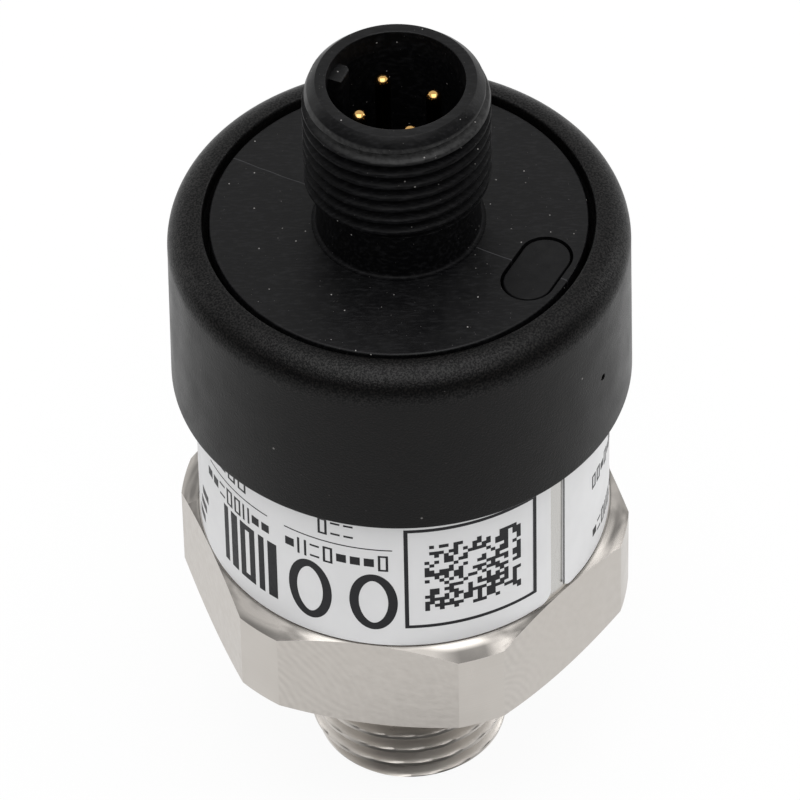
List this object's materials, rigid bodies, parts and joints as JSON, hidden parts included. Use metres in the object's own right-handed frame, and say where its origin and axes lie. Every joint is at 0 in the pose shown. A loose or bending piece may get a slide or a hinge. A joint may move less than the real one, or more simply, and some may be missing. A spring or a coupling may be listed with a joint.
{
  "type": "pressure transmitter",
  "caption": "Short upright pressure transmitter: threaded stud, steel hexagon, labelled case tube and a black cap with a threaded round plug connector.",
  "frame": {"origin": "centre of the stud's end face, on which the part stands", "axes": "+Z along the part's axis from the stud to the plug connector; -Y is the side that shows the label's framed field; the wrench flats are turned 11.2 degrees about Z from the X and Y axes"},
  "size_m": [0.0298, 0.0298, 0.0589],
  "materials": {
    "turned_steel": "turned and face-milled stainless steel",
    "case_steel": "smooth drawn stainless steel",
    "seal_rubber": "moulded fluoro rubber",
    "label_film": "satin film with black print",
    "cap_plastic": "fine-textured moulded plastic",
    "insert_plastic": "fibre-filled moulded plastic",
    "vent_plastic": "matt moulded plastic",
    "gold_plate": "gold-plated",
    "solder": "soft solder",
    "membrane_cloth": "porous film",
    "carrier_plastic": "moulded plastic",
    "circuit_board": "coated glass-fibre board",
    "chip_package": "moulded package",
    "capacitor_ceramic": "fired ceramic",
    "ribbon_film": "polyimide film"
  },
  "bodies": {
    "root": {"process_connection": "turned_steel", "sensor_cell": "turned_steel", "case_tube": "case_steel", "profile_seal_ring": "seal_rubber", "case_gasket": "seal_rubber", "insert_seal_ring": "seal_rubber", "rating_label": "label_film", "head_cap": "cap_plastic", "connector_insert": "insert_plastic", "contact_pin_1": "gold_plate", "contact_pin_2": "gold_plate", "contact_pin_3": "gold_plate", "contact_pin_4": "gold_plate", "solder_joints": "solder", "vent_plug": "vent_plastic", "vent_membrane": "membrane_cloth", "board_carrier": "carrier_plastic", "sensor_board": "circuit_board", "amplifier_board": "circuit_board", "connector_board": "circuit_board", "signal_chip": "chip_package", "chip_capacitors": "capacitor_ceramic", "board_header": "chip_package", "header_pins": "gold_plate", "flex_ribbon": "ribbon_film"}
  },
  "joints": []
}
